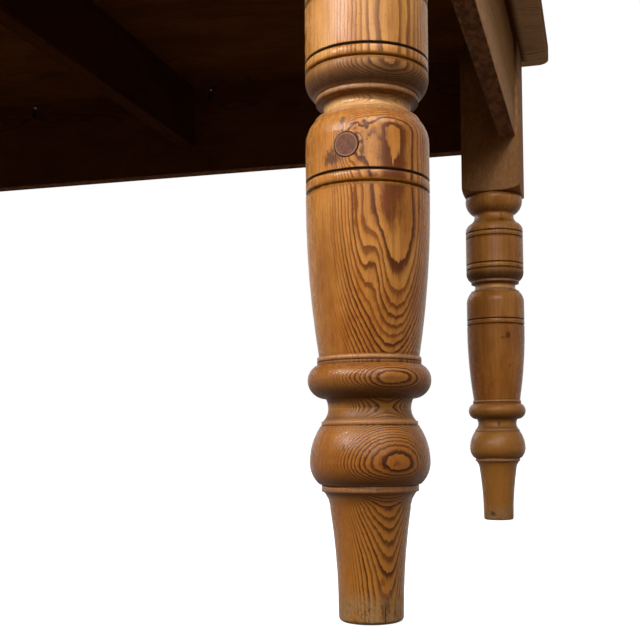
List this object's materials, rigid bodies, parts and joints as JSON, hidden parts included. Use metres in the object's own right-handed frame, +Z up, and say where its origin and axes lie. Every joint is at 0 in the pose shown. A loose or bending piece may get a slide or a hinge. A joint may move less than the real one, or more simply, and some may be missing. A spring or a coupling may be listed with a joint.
{
  "type": "farmhouse dining table",
  "caption": "Long pine farmhouse table: turned legs with square heads, pegged rails, cross bearers and a tongued and grooved board top.",
  "frame": {"origin": "on the floor under the middle of the table", "axes": "+X along the table to its right end, +Y to its back, +Z up"},
  "size_m": [1.83, 1.031, 0.766],
  "materials": {
    "top_pine": "waxed above, rough and dark below",
    "leg_pine": "turned and waxed, honey coloured",
    "frame_pine": "planed, waxed outside, bare inside",
    "peg_wood": "riven end grain, waxed over",
    "screw_steel": "dulled with age"
  },
  "bodies": {
    "root": {"top_board_1": "top_pine", "top_board_2": "top_pine", "top_board_3": "top_pine", "top_board_4": "top_pine", "top_board_5": "top_pine", "top_board_6": "top_pine", "leg_front_left": "leg_pine", "pegs_front_left": "peg_wood", "leg_front_right": "leg_pine", "pegs_front_right": "peg_wood", "leg_back_right": "leg_pine", "pegs_back_right": "peg_wood", "leg_back_left": "leg_pine", "pegs_back_left": "peg_wood", "leg_plug": "peg_wood", "rail_front": "frame_pine", "screws_rail_front": "screw_steel", "rail_back": "frame_pine", "screws_rail_back": "screw_steel", "rail_right": "frame_pine", "screws_rail_right": "screw_steel", "rail_left": "frame_pine", "screws_rail_left": "screw_steel", "bearer_right": "frame_pine", "screws_bearer_right": "screw_steel", "bearer_left": "frame_pine", "screws_bearer_left": "screw_steel"}
  },
  "joints": []
}
